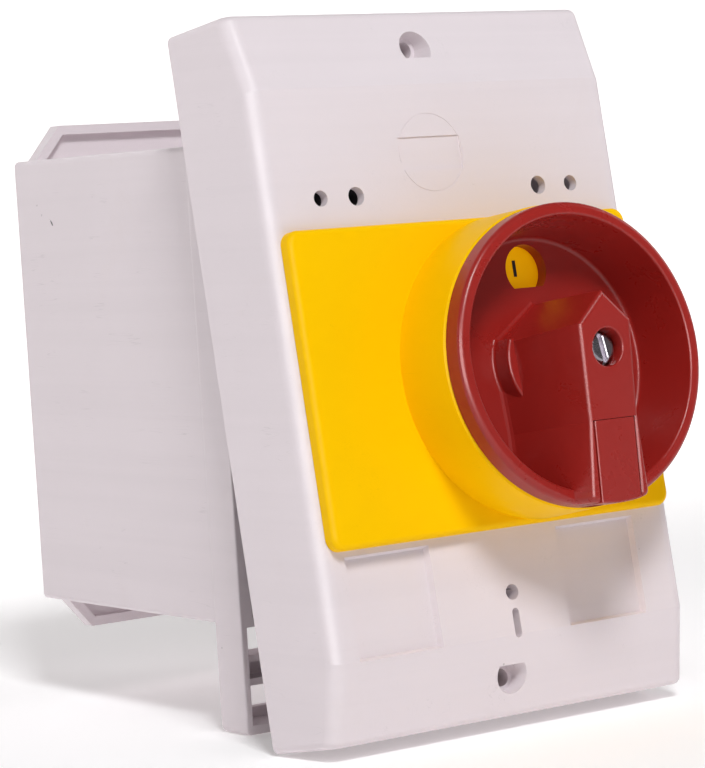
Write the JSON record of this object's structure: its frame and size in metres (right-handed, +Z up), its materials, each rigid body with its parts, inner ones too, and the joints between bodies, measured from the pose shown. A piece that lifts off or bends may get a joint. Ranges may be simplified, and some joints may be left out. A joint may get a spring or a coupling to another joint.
{
  "type": "rotary isolator switch",
  "caption": "Flush box with a leaning front cover, a yellow plate and a red dished lockable rotary handle on a square shaft.",
  "frame": {"origin": "centre of the box's flat back face", "axes": "+Z up, front towards -Y, +X to the right seen from the front"},
  "size_m": [0.1044, 0.1658, 0.1612],
  "materials": {
    "grey_moulding": "fine satin texture",
    "yellow_moulding": "satin",
    "red_moulding": "satin gloss",
    "black_moulding": "satin",
    "dark_moulding": "matte",
    "bush_moulding": "satin",
    "membrane": "matte",
    "seal_rubber": "matte",
    "zinc_steel": "bright zinc",
    "spring_steel": "plain",
    "brass": "plain",
    "copper": "plain copper",
    "silver": "dull silver",
    "mark_black": "printed"
  },
  "bodies": {
    "enclosure": {"rear_box": "grey_moulding", "screw_inserts": "brass", "din_rail": "zinc_steel", "rail_screws": "zinc_steel", "top_grommets": "membrane", "bottom_grommets": "membrane", "earth_block": "brass", "neutral_block": "brass", "block_screws": "zinc_steel", "switch_base": "dark_moulding", "switch_housing": "dark_moulding", "line_strips": "copper", "load_strips": "copper", "fixed_tips": "silver", "line_clamps": "zinc_steel", "load_clamps": "zinc_steel", "line_screws": "zinc_steel", "load_screws": "zinc_steel", "arc_plates": "zinc_steel"},
    "latch": {"din_latch": "black_moulding"},
    "carrier": {"contact_carrier": "black_moulding", "contact_bridges": "copper", "moving_tips": "silver", "contact_springs": "spring_steel"},
    "rotor": {"rotor": "black_moulding", "rotor_knob": "black_moulding"},
    "cover": {"cover_shell": "grey_moulding", "cover_ferrules": "brass", "cover_seal": "seal_rubber", "yellow_plate": "yellow_moulding", "plate_screws": "zinc_steel", "shaft_bush": "bush_moulding", "shaft_seal": "seal_rubber", "position_disc": "yellow_moulding", "position_marks": "mark_black"},
    "handle": {"handle": "red_moulding", "slide_spring": "spring_steel", "handle_screw": "zinc_steel", "screw_washer": "zinc_steel", "drive_shaft": "zinc_steel", "driver": "black_moulding", "driver_pin": "spring_steel", "retaining_clip": "spring_steel"},
    "lock": {"lock_slide": "red_moulding"}
  },
  "joints": [
    {"name": "cover_tilt", "type": "hinge", "parent": "enclosure", "child": "cover", "pos_m": [0, -0.0939, 0.0789], "axis": [-1, 0, 0], "range_deg": [-8.85, 35]},
    {"name": "handle_turn", "type": "hinge", "parent": "cover", "child": "handle", "pos_m": [0.011, -0.10673, -0.00351], "axis": [0, -0.9881, 0.1538], "range_deg": [0, 90]},
    {"name": "lock_pull", "type": "slide", "parent": "handle", "child": "lock", "axis": [0, -0.1538, -0.9881], "range_m": [0, 0.01], "stiffness_N_per_m": 60, "springref_m": -0.004},
    {"name": "rotor_turn", "type": "hinge", "parent": "enclosure", "child": "rotor", "pos_m": [0.011, -0.08, -0.0045], "axis": [0, -1, 0], "range_deg": [0, 90]},
    {"name": "contact_lift", "type": "slide", "parent": "enclosure", "child": "carrier", "axis": [0, -1, 0], "range_m": [0, 0.004]},
    {"name": "latch_pull", "type": "slide", "parent": "enclosure", "child": "latch", "axis": [0, 0, -1], "range_m": [0, 0.004], "stiffness_N_per_m": 300, "springref_m": -0.002}
  ],
  "couplings": [
    {"joint": "rotor_turn", "follows": "handle_turn", "ratio": 1},
    {"joint": "contact_lift", "follows": "handle_turn", "m_per_rad": 0.00254}
  ]
}
